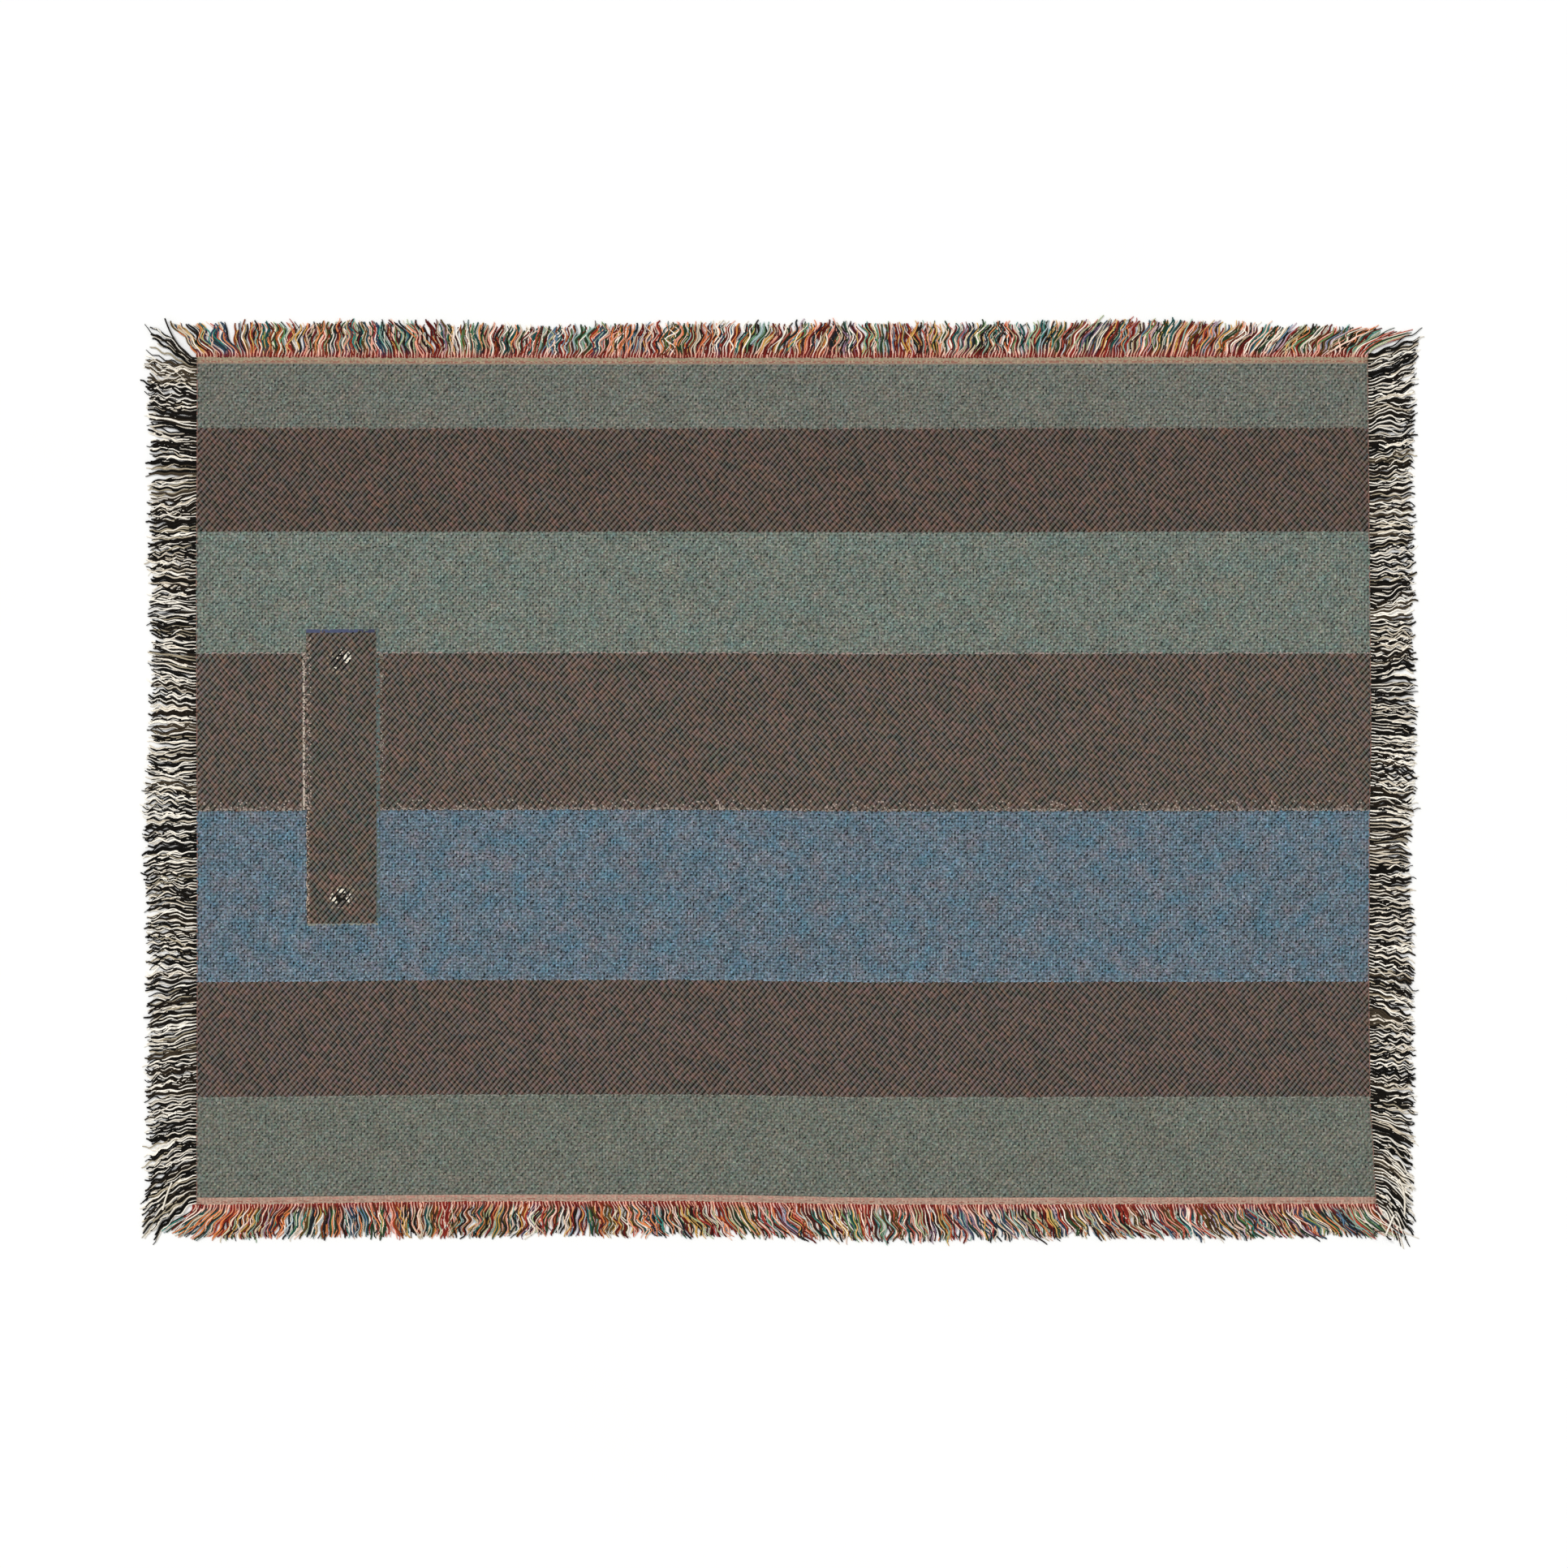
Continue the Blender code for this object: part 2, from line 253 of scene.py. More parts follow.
slab.from_pydata(corners, [], [(0, 1, 2, 3)])
slab.materials.append(floor_paint)
floor = placed("floor", slab)
print("the floor is", 2 * FLOOR_REACH, "m wide")

# %% [markdown]
# ## The colours and the stripes
#
# Each stripe is one of two weaves. The brown ones are a twill: bold ribs that climb to the right, 6.3 mm apart
# along the cloth, with a dark groove between them. The green and blue ones are a pebbled weave: small floats in
# a square grid of 3.5 mm, speckled with darker and lighter threads. A real thread is about 0.6 mm, too fine to
# show here, so the pattern is drawn at the scale of ribs and floats, which is what the eye sees.

# %% Stripes and rows of thread, in millimetres from the top left corner of the cloth
# Columns: where the stripe starts, its mean colour, 1 for twill or 0 for pebbles, how strong its speckle is, and
# how strong its pebbles' painted light and shade and its patches of other colours are.
STRIPES = (
    (0.0, "#676961", 0, 0.56, 0.28), (72.8, "#504944", 1, 0.0, 0.42), (189.2, "#6a7169", 0, 0.62, 0.40),
    (325.9, "#544f4a", 1, 0.0, 0.42), (503.0, "#5c6a75", 0, 0.74, 0.85), (694.6, "#524c48", 1, 0.0, 0.38),
    (824.0, "#666960", 0, 0.56, 0.26),
)
# Columns: where the row starts, its height, its colour, the share of its threads that shows.
ROWS = (
    (71.6, 1.6, "#8a6f66", 0.15), (324.6, 1.9, "#a08c86", 0.28), (491.0, 9.2, "#9e9085", 0.05),
    (500.2, 2.8, "#978a80", 0.28), (693.6, 1.3, "#86a0b0", 0.25), (824.2, 1.5, "#8a8a80", 0.20),
)
# A plain panel woven in brown twill.
# Columns: left, right, top, bottom.
PANEL, PANEL_COLOUR = (124.6, 203.6, 300.8, 630.4), "#524f4a"
# Coloured threads that come up in patches: around the panel, and down the two side edges of the cloth.
# Columns: left, right, top, bottom, colour, the share of its cells that shows, cell size.
THREADS = (
    (124.6, 183.0, 299.0, 302.8, "#4a506a", 0.92, 1.8),
    (183.0, 206.0, 299.0, 302.8, "#3d4157", 0.50, 1.8),
    (120.4, 122.8, 325.0, 502.0, "#b7a99b", 0.66, 1.5),
    (122.8, 130.0, 308.0, 502.0, "#a8968a", 0.13, 1.3),
    (124.0, 127.6, 502.0, 630.0, "#b3a08f", 0.20, 1.3),
    (202.8, 207.2, 301.0, 628.0, "#55625f", 0.60, 1.9),
    (206.6, 211.4, 326.0, 500.0, "#918d80", 0.10, 1.3),
    (124.6, 205.0, 629.8, 632.2, "#84867a", 0.50, 1.7),
    (0.0, 2.0, 0.0, 940.0, "#8b675d", 0.50, 1.8),
    (1319.0, 1321.2, 0.0, 940.0, "#8b675d", 0.50, 1.8),
)
# Where the panel is tacked down, a round spot at each end of it: black in the grooves, cream flecks on the ribs.
# Columns: its middle at the upper end and at the lower one, inner and outer radius, 0 for the grooves or 1 for the
# ribs, colour, the share of its cells that shows, cell size.
SPOTS = (
    ((163.5, 333.5), (163.5, 600.5), -1.0, 6.0, 1.0, "#1f1b16", 0.60, 3.0),
    ((163.5, 333.5), (163.5, 600.5), -1.0, 11.5, 0.0, "#080706", 0.95, 2.6),
    ((164.5, 333.5), (162.5, 600.5), 5.0, 12.0, 1.0, "#e0d8c6", 0.26, 2.3),
    ((171.5, 332.5), (173.5, 601.5), -1.0, 5.0, 1.0, "#e6dfd0", 0.55, 2.3),
    ((163.5, 333.5), (163.5, 600.5), 11.0, 17.0, 1.0, "#8f8270", 0.12, 2.0),
)
# From rib to rib and from step to step along a rib, across and down the cloth, and from pebble to pebble.
RIB_X, RIB_Y = 6.32, 7.15
STEP_X, STEP_Y = 3.13, 3.53
PEBBLE = 3.46
TURN = 2 * math.pi
print("stripes:", len(STRIPES), "rows of thread:", len(ROWS))


# %% [markdown]
# ### The woven cotton
#
# A picture of the weave would be one way to colour this cloth, but it would blur close up and repeat. Here the
# weave is worked out from its threads. A sine wave across the ribs gives their height, a second one gives the
# steps of the threads along each rib, and white noise on whole cells makes single floats lighter or darker, as
# a jacquard loom does where it brings up threads of another colour. The pattern follows the cloth's UV map,
# which counts metres from its top left corner, so it bends with the cloth.
# The tone of the ribs and the pebbles follows their height too: painted shade in the grooves and between the pebbles,
# painted light on their tops.


# %% Noise on cells and masks
def speckle(tree, mm, cell, seed):
    """White noise from 0 to 1, one value for each square cell of this many millimetres. Each seed has its own."""
    cells = add(tree, "VectorMath", {0: mm, 1: (1 / cell, 1 / cell, 0), 2: (seed, seed * 1.7, 0)},
                operation="MULTIPLY_ADD")
    whole = add(tree, "VectorMath", {0: cells}, operation="FLOOR")
    return add(tree, "TexWhiteNoise", {"Vector": whole}, noise_dimensions="3D")


def between(tree, value, low, high):
    """1 where the value lies between the two limits, else 0."""
    middle, half = (low + high) / 2, (high - low) / 2
    return maths(tree, "COMPARE", value, middle, half)


def multiply(tree, *values):
    product = values[0]
    for value in values[1:]:
        product = maths(tree, "MULTIPLY", product, value)
    return product


def mixed(tree, share, first, second, blend="MIX"):
    """The first colour where share is 0, and the second, or its blend with the first, where share is 1."""
    inputs = {"Factor": share, 6: first, 7: second}
    return add(tree, "Mix", inputs, out=2, data_type="RGBA", blend_type=blend)


def shaded(tree, colour, tone):
    """The colour times one tone in all three channels."""
    grey = add(tree, "CombineColor", {0: tone, 1: tone, 2: tone})
    return mixed(tree, 1.0, colour, grey, "MULTIPLY")


def sum_of(tree, start, *terms):
    """start plus each term's value times its weight."""
    for value, weight in terms:
        start = maths(tree, "MULTIPLY_ADD", value, weight, start)
    return start


# %% Millimetres on the cloth and waves across it
def cloth_mm(tree):
    """The place on the UV map, in millimetres."""
    return add(tree, "VectorMath", {0: add(tree, "UVMap", {}), "Scale": 1 / MM}, operation="SCALE")


def wave(tree, mm, turns_x, turns_y, shift=0.0):
    """A sine wave from -1 to 1 that makes this many turns for each millimetre to the right and downwards, and its
    phase."""
    slope = (TURN * turns_x, TURN * turns_y, 0)
    phase = add(tree, "VectorMath", {0: mm, 1: slope}, out="Value", operation="DOT_PRODUCT")
    moved = maths(tree, "ADD", phase, shift)
    return maths(tree, "SINE", moved), moved


def whole_turns(tree, phase):
    return maths(tree, "FLOOR", maths(tree, "DIVIDE", phase, TURN))


# %% Tones of the twill
# The tone of a bare groove, which is painted shade and brings the mean tone to 1, and how far the ribs wander, in
# radians.
GROOVE_SHADE_TONE, RIB_WANDER = -0.34, 6.0


def twill_tones(tree, mm, nap):
    """Rib height, rib tone, tint and redness. The groove is a power of half of one minus the wave. The rib tone
    follows the rib height, as painted shade in the grooves and painted light on the rib tops. Every knot, where a
    step crosses a rib, has its own random tone and tint. Redness is the sum of two crossed cosine waves."""
    wander = add(tree, "TexNoise", {"Vector": mm, "Scale": 0.012, "Detail": 2.0})
    ribs, rib_phase = wave(tree, mm, 1 / RIB_X, 1 / RIB_Y, multiply(tree, wander, RIB_WANDER))
    steps, step_phase = wave(tree, mm, 1 / STEP_X, -1 / STEP_Y)
    cross, cross_phase = wave(tree, mm, 1 / RIB_X, -1 / RIB_Y)
    groove = maths(tree, "POWER", sum_of(tree, 0.5, (ribs, -0.5)), 1.5)
    top = sum_of(tree, 1.0, (groove, -1.0))
    rope = multiply(tree, top, steps)
    redness = maths(tree, "ADD", maths(tree, "COSINE", rib_phase), maths(tree, "COSINE", cross_phase))
    place = add(tree, "CombineXYZ", {"X": whole_turns(tree, rib_phase), "Y": whole_turns(tree, step_phase)})
    knot = add(tree, "TexWhiteNoise", {"Vector": place}, noise_dimensions="3D")
    # The rib tone rises with the rib height: painted shade in the grooves, painted light on the rib tops.
    tone = sum_of(tree, GROOVE_SHADE_TONE, (top, 1.51), (rope, 0.40), (cross, 0.15), (knot, 0.49), (nap, 0.46))
    return top, tone, knot.node.outputs["Color"], redness


# %% Tones of the pebbled weave
# Columns: share of the threads that are darker, tone.
THREAD_TONES = ((0.0, 0.1), (0.12, 0.45), (0.4, 0.9), (0.75, 1.2), (0.95, 1.75), (1.0, 2.4))


def pebble_tones(tree, mm, nap, strength, relief):
    """Pebble height and tone. Two crossed sine waves are the pebbles, a diagonal one makes streaks, and cells of two
    sizes are dark and light threads. The tone follows the pebbles' height, as painted light on their tops and painted
    shade between them. The starts of the sums bring the mean of the cells to 0 and of the tone to 1."""
    columns, rows = wave(tree, mm, 1 / PEBBLE, 0)[0], wave(tree, mm, 0, 1 / PEBBLE)[0]
    pebbles = maths(tree, "ADD", columns, rows)
    streaks = wave(tree, mm, 1 / RIB_X, 1 / RIB_Y)[0]
    dots = add(tree, "ValToRGB", {"Fac": speckle(tree, mm, PEBBLE / 2, 5.0)})
    set_stops(dots, [(place, light, light, light, 1) for place, light in THREAD_TONES])
    coarse = speckle(tree, mm, PEBBLE, 11.0)
    cells = sum_of(tree, -1.12, (dots, 1.0), (coarse, 0.24))
    # The tone rises with the pebbles' height: painted light on their tops, painted shade between them.
    deep = multiply(tree, pebbles, maths(tree, "SQRT", relief))
    return pebbles, sum_of(tree, 0.5, (deep, 0.225), (streaks, 0.31), (nap, 1.0), (cells, strength))


# %% The stripes and the single threads, from the tables
def down_the_cloth(tree, depth, starts, values):
    """The value of the last start above this depth: each start lays its value over the ones before it. A colour
    ramp would be shorter, but it rounds every start to a 256th of the cloth, which is 4 mm."""
    result = values[0]
    for start, value in zip(starts[1:], values[1:]):
        reached = maths(tree, "GREATER_THAN", depth, start)
        result = mixed(tree, reached, result, value)
    return result


def threads_over(tree, mm, colour, inside, code, share, cell, seed):
    """Lays a thread's colour on the cells of an area whose white noise is below the share."""
    some = maths(tree, "LESS_THAN", speckle(tree, mm, cell, seed), share)
    return mixed(tree, multiply(tree, inside, some), colour, linear(code))


def tint_from(tree, noise, red, green, blue):
    """A tint round white from three noises of 0 to 1. Each channel spreads over its own width."""
    wide = np.array([red, green, blue])
    return add(tree, "VectorMath", {0: noise, 1: wide.tolist(), 2: (1 - wide / 2).tolist()}, operation="MULTIPLY_ADD")


# %% What the tables say at each place
# In millimetres: how deep the edge of a stripe is frayed.
FRAY = 1.4
# Columns: place in the noise, red, green, blue, alpha.
PATCH_TINTS = (
    (0.34, 1.29, 1.00, 0.92, 1), (0.46, 1.04, 1.0, 0.98, 1), (0.54, 0.94, 1.0, 1.01, 1), (0.66, 0.71, 1.01, 1.08, 1),
)
# The warm colour given to the painted shade in the twill's grooves.
WARM_GROOVE_SHADE = (1.28, 0.895, 0.69, 1)


def striped(tree, mm, down):
    """Each stripe's colour, its weave and its two strengths. Random cells fray the edges of the stripes."""
    depth = maths(tree, "SUBTRACT", sum_of(tree, down, (speckle(tree, mm, 2.4, 3.0), FRAY)), FRAY / 2)
    starts = [row[0] for row in STRIPES]
    colour = down_the_cloth(tree, depth, starts, [linear(row[1]) for row in STRIPES])
    kinds = down_the_cloth(tree, depth, starts, [(*row[2:], 1) for row in STRIPES])
    return colour, *add(tree, "SeparateColor", {0: kinds}).node.outputs


def inside_box(tree, across, down, left, right, top, bottom):
    return multiply(tree, between(tree, across, left, right), between(tree, down, top, bottom))


# %% Tints and single threads
def tinted(tree, mm, colour, twill, patches, rib_height, knot_tint, redness):
    """The colour times the tints of large patches and of single threads. The twill has red threads as well, and its
    painted groove shade is warmer."""
    patch = add(tree, "TexNoise", {"Vector": mm, "Scale": 0.042, "Detail": 3.0, "Roughness": 0.6})
    tint = add(tree, "ValToRGB", {"Fac": patch})
    set_stops(tint, PATCH_TINTS)
    colour = mixed(tree, patches, colour, tint, "MULTIPLY")
    fleck_tint = speckle(tree, mm, PEBBLE / 2, 29.0).node.outputs["Color"]
    knots = tint_from(tree, knot_tint, 0.36, 0.12, 0.24)
    flecks = mixed(tree, twill, tint_from(tree, fleck_tint, 0.30, 0.11, 0.16), knots)
    colour = mixed(tree, 1.0, colour, flecks, "MULTIPLY")
    red_threads = add(tree, "CombineColor", {0: sum_of(tree, 1.0, (redness, 0.05)), 1: 1.0, 2: 1.0})
    colour = mixed(tree, twill, colour, red_threads, "MULTIPLY")
    # The painted shade in the grooves is made warmer.
    in_groove_shade = multiply(tree, twill, sum_of(tree, 1.0, (rib_height, -1.0)))
    return mixed(tree, in_groove_shade, colour, WARM_GROOVE_SHADE, "MULTIPLY")


def with_threads(tree, mm, colour, across, down, panel, rib_height):
    """Lays the rows and the patches of thread over the colour, and then the spots at the ends of the panel."""
    outside = maths(tree, "SUBTRACT", 1.0, panel)
    for number, (start, high, code, share) in enumerate(ROWS):
        row = multiply(tree, between(tree, down, start, start + high), outside)
        colour = threads_over(tree, mm, colour, row, code, share, 1.7, 61.0 + number)
    for number, (*box, code, share, cell) in enumerate(THREADS):
        inside = inside_box(tree, across, down, *box)
        colour = threads_over(tree, mm, colour, inside, code, share, cell, 23.0 + number)
    spots = [(spot[end], *spot[2:]) for end in (0, 1) for spot in SPOTS]
    for number, (centre, near, far, level, code, share, cell) in enumerate(spots):
        away = add(tree, "VectorMath", {0: mm, 1: (*centre, 0)}, out="Value", operation="DISTANCE")
        on_level = maths(tree, "COMPARE", rib_height, level, 0.5)
        inside = multiply(tree, between(tree, away, near, far), on_level)
        colour = threads_over(tree, mm, colour, inside, code, share, cell, 43.0 + number)
    return colour


# %% Woven cotton, matt, with a short nap that scatters light softly
def woven_cotton():
    """Stripe colour times the tone of its weave and its tints, with the plain panel and single threads over it."""
    material, tree, shader = new_material("jacquard-woven cotton")
    mm = cloth_mm(tree)
    across, down, _ = add(tree, "SeparateXYZ", {0: mm}).node.outputs
    nap = add(tree, "TexNoise", {"Vector": mm, "Scale": 0.75, "Detail": 2.0})
    colour, twill, strength, patches = striped(tree, mm, down)
    panel = inside_box(tree, across, down, *PANEL)
    colour = mixed(tree, panel, colour, linear(PANEL_COLOUR))
    twill = maths(tree, "MAXIMUM", twill, panel)

    rib_height, rib_tone, knot_tint, redness = twill_tones(tree, mm, nap)
    pebble_height, pebble_tone = pebble_tones(tree, mm, nap, strength, patches)
    tone = add(tree, "Mix", {0: twill, 2: pebble_tone, 3: rib_tone}, data_type="FLOAT")
    blotch = add(tree, "TexNoise", {"Vector": mm, "Scale": 0.022, "Detail": 3.0})
    tone = multiply(tree, maths(tree, "MAXIMUM", tone, 0.04), sum_of(tree, 0.86, (blotch, 0.28)))
    colour = shaded(tree, colour, tone)
    colour = tinted(tree, mm, colour, twill, patches, rib_height, knot_tint, redness)
    colour = with_threads(tree, mm, colour, across, down, panel, rib_height)

    height = add(tree, "Mix", {0: twill, 2: multiply(tree, pebble_height, 0.3), 3: rib_height}, data_type="FLOAT")
    height = sum_of(tree, height, (nap, 0.8))
    bump = add(tree, "Bump", {"Strength": 0.55, "Distance": 0.35 * MM, "Height": height})
    fill(tree, shader, {"Base Color": colour, "Normal": bump, "Roughness": 0.92, "Specular IOR Level": 0.12,
                        "Sheen Weight": 0.03, "Sheen Roughness": 0.6})
    return material


COTTON = woven_cotton()
print(COTTON.name, "has", len(COTTON.node_tree.nodes), "nodes")

# %% [markdown]
# ## The cloth
#
# The cloth is 2 mm thick and lies flat, but a sheet that was folded and laid out by hand is never a mirror. Its
# surface is a grid between the four bowed edges. Each point mixes its two nearest edges in each direction, which
# is how a patch between four curves is made. Close to the rim the upper and the lower grid lines curve towards
# each other along a quarter circle, so the edge is soft and the mesh is closed.


# %% A patch between the four edges
def rim_steps(count, size, soft):
    """Shares from 0 to 1: four close steps over the soft rim at each end and even steps between them."""
    near = np.array([0.0, 0.1, 0.4, 1.0]) * soft / size
    return np.concatenate([near, np.linspace(near[-1], 1 - near[-1], count)[1:-1], 1 - near[::-1]])


def patch_between_edges(u, v):
    """Mix of left and right edge, plus mix of top and bottom edge, less the same mix of the four corners."""
    top, bottom = edge_line("top", u, 0.0, HOME), edge_line("bottom", u, 0.0, HOME)
    left, right = edge_line("left", v, 0.0, HOME), edge_line("right", v, 0.0, HOME)
    u, v = u[None, :, None], v[:, None, None]
    rows = (1 - v) * top[None] + v * bottom[None]
    columns = (1 - u) * left[:, None] + u * right[:, None]
    corners = (1 - v) * ((1 - u) * top[0] + u * top[-1]) + v * ((1 - u) * bottom[0] + u * bottom[-1])
    return rows + columns - corners


def grid_faces(rows, columns):
    """Four-cornered faces of a grid, turned so that they face up where rows run downwards and columns right."""
    start = (np.arange(rows - 1)[:, None] * columns + np.arange(columns - 1)).ravel()
    return start[:, None] + np.array([0, columns, columns + 1, 1])


# %% The upper and the lower side of the cloth
# In metres: the width of the soft rim, and the distance from the edge over which the ripples grow.
SOFT_RIM, RIPPLE_GROWTH = 0.9 * MM, 0.03
u, v = rim_steps(168, LENGTH, SOFT_RIM), rim_steps(120, WIDTH, SOFT_RIM)
plan = patch_between_edges(u, v)
far = np.minimum.outer(np.minimum(v, 1 - v) * WIDTH, np.minimum(u, 1 - u) * LENGTH)
round_off = np.sqrt(1 - (1 - np.clip(far / SOFT_RIM, 0, 1)) ** 2)
# In millimetres: ripples 0.2 m long to the right, which wander, and ripples 0.15 m long downwards.
ripple = 0.25 * np.sin(plan[..., 0] * 31 + 2.2 * np.sin(plan[..., 1] * 9)) + 0.2 * np.sin(plan[..., 1] * 43 + 1.0)
lift = (0.45 + ripple) * MM * np.clip(far / RIPPLE_GROWTH, 0, 1)
upper = np.dstack([plan, THICK * (0.5 + 0.5 * round_off) + lift])
lower = np.dstack([plan, THICK * (0.5 - 0.5 * round_off)])
print("the ripples lift the cloth by up to", (lift.max() / MM).round(2), "mm")

# %% Join the two sides at the rim
count = len(u) * len(v)
number = np.arange(count).reshape(len(v), len(u))
on_rim = far <= 0
below = np.where(on_rim, number, number + count)
quads = grid_faces(len(v), len(u))
faces = np.concatenate([quads, below.ravel()[quads[:, ::-1]]])
kept, faces = np.unique(faces, return_inverse=True)
points = np.concatenate([upper.reshape(-1, 3), lower.reshape(-1, 3)])[kept]
metres = np.stack(np.broadcast_arrays(u[None, :] * LENGTH, v[:, None] * WIDTH), axis=2).reshape(-1, 2)
flat_uv = np.concatenate([metres, metres])[kept]
faces = faces.reshape(-1, 4)
cloth = make_piece("woven_cloth", points, [faces], flat_uv[faces.ravel()], COTTON)
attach(cloth, "root")
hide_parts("cloth")
print("cloth box in mm:", (points.min(axis=0) / MM).round(1), (points.max(axis=0) / MM).round(1))

# %% [markdown]
# ## The plain-woven borders
#
# Above the first stripe and below the last one, 8 mm are woven plain, so that the stripes can't slip out. The
# borders are beige, with fine lines along them and rows of reddish dashes. Each is one profile carried along
# the bowed edge, and its inner side tucks in under the rim of the cloth.


# %% Plain-woven border yarn, matt, with fine lines along it
# In millimetres: from pick to pick along the border, from end to end across it, the size of a dash, and how far its
# lines wander.
PICK, END_STEP, DASH, LINE_WANDER = 3.8, 1.6, 1.9, 1.6


def plain_border(name, code, lines):
    """Base colour times noise stretched along the border and a wave at every pick, with rows of dashes over it."""
    material, tree, shader = new_material(name)
    mm = cloth_mm(tree)
    out = add(tree, "SeparateXYZ", {0: mm}, out="Y")
    stretched = add(tree, "VectorMath", {0: mm, 1: (0.14, 0.9, 0)}, operation="MULTIPLY")
    streaks = add(tree, "TexNoise", {"Vector": stretched, "Scale": 1.0, "Detail": 2.0})
    picks = wave(tree, mm, 1 / PICK, 0)[0]
    tone = sum_of(tree, 0.45, (streaks, 0.7), (picks, 0.08), (speckle(tree, mm, DASH, 7.0), 0.4))
    colour = shaded(tree, linear(code), tone)
    wander = sum_of(tree, out, (add(tree, "TexNoise", {"Vector": mm, "Scale": 0.03}), LINE_WANDER))
    for number, (centre, half, shade, share) in enumerate(lines):
        inside = between(tree, wander, centre + LINE_WANDER / 2 - half, centre + LINE_WANDER / 2 + half)
        some = maths(tree, "LESS_THAN", speckle(tree, mm, DASH, 10.0 + number), share)
        colour = mixed(tree, multiply(tree, inside, some, 0.85), colour, linear(shade))
    ends = wave(tree, mm, 0, 1 / END_STEP)[0]
    bump = add(tree, "Bump", {"Strength": 0.4, "Distance": 0.2 * MM, "Height": sum_of(tree, picks, (ends, 1.0))})
    fill(tree, shader, {"Base Color": colour, "Normal": bump, "Roughness": 0.92, "Specular IOR Level": 0.25})
    return material


# Columns of each line: place from the cloth outwards, half its width, colour, the share of its cells that shows.
BORDERS = {
    "top": ("#9e8973", ((0.3, 0.9, "#93786a", 0.55), (2.3, 1.2, "#8f5b4d", 0.42), (5.8, 2.2, "#8f8a6a", 0.26),
                        (7.6, 0.7, "#a8705f", 0.60))),
    "bottom": ("#aa8d7c", ((-0.2, 0.5, "#7d6055", 0.50), (2.0, 0.6, "#b5766b", 0.40), (4.9, 1.0, "#8f5b4c", 0.26),
                           (7.0, 0.8, "#b5a690", 0.40))),
}
border_yarn = {
    side: plain_border(side + " plain-woven cotton border", code, lines) for side, (code, lines) in BORDERS.items()
}
print("borders:", ", ".join(border_yarn))


# %% Carry a profile along an edge
# In metres: how far a border tucks in under the cloth, and how thick it is.
TUCK, BORDER_THICK = 1.6 * MM, 1.9 * MM
PROFILE_POINTS, BORDER_STEPS = 14, 160


def carried_strip(side, steps, low, high, thick):
    """A rounded oblong, where the cubes of the shares outwards and upwards add up to 1, carried along the edge and
    closed at both ends."""
    turn = np.linspace(0, TURN, PROFILE_POINTS + 1)[:-1]
    power = 2 / 3
    wide = np.sign(np.cos(turn)) * np.abs(np.cos(turn)) ** power
    tall = np.sign(np.sin(turn)) * np.abs(np.sin(turn)) ** power
    out = (low + high) / 2 + wide * (high - low) / 2
    shares = np.linspace(0, 1, steps)
    line = edge_line(side, shares[:, None], out[None, :], HOME)
    up = np.broadcast_to(thick / 2 + tall * thick / 2, line.shape[:2])
    points = np.dstack([line, up])
    ring, length = len(turn), side_length(side)
    first = np.arange(steps - 1)[:, None] * ring
    start, after = (first + np.arange(ring)).ravel(), (first + (np.arange(ring) + 1) % ring).ravel()
    quads = np.stack([start, start + ring, after + ring, after], axis=1)
    caps = np.stack([np.arange(ring), (steps - 1) * ring + np.arange(ring)[::-1]])
    if side == "bottom":
        quads, caps = quads[:, ::-1], caps[:, ::-1]
    uv = np.dstack(np.broadcast_arrays(shares[:, None] * length, out[None, :])).reshape(-1, 2)
    return points.reshape(-1, 3), [quads, caps], uv[np.concatenate([quads.ravel(), caps.ravel()])]


borders = []
for side in BORDERS:
    points, faces, uv = carried_strip(side, BORDER_STEPS, -TUCK, HEADING + GAP, BORDER_THICK)
    borders.append(make_piece(side + "_border", points, faces, uv, border_yarn[side]))
    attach(borders[-1], "root")
    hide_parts(side + "_fringe")

# %% [markdown]
# ## How the fringe lies
#
# A fringe that has been shaken out and laid down isn't combed. Neighbouring strands lean the same way, cling
# together towards their tips, and leave gaps between the clumps. The real strands could be simulated as hair,
# but that would take long and would not lie like the ones in the picture. Here each side has a table that says
# how far the tips reach and which way they lean, another for the gaps, and seeded random numbers do the rest.

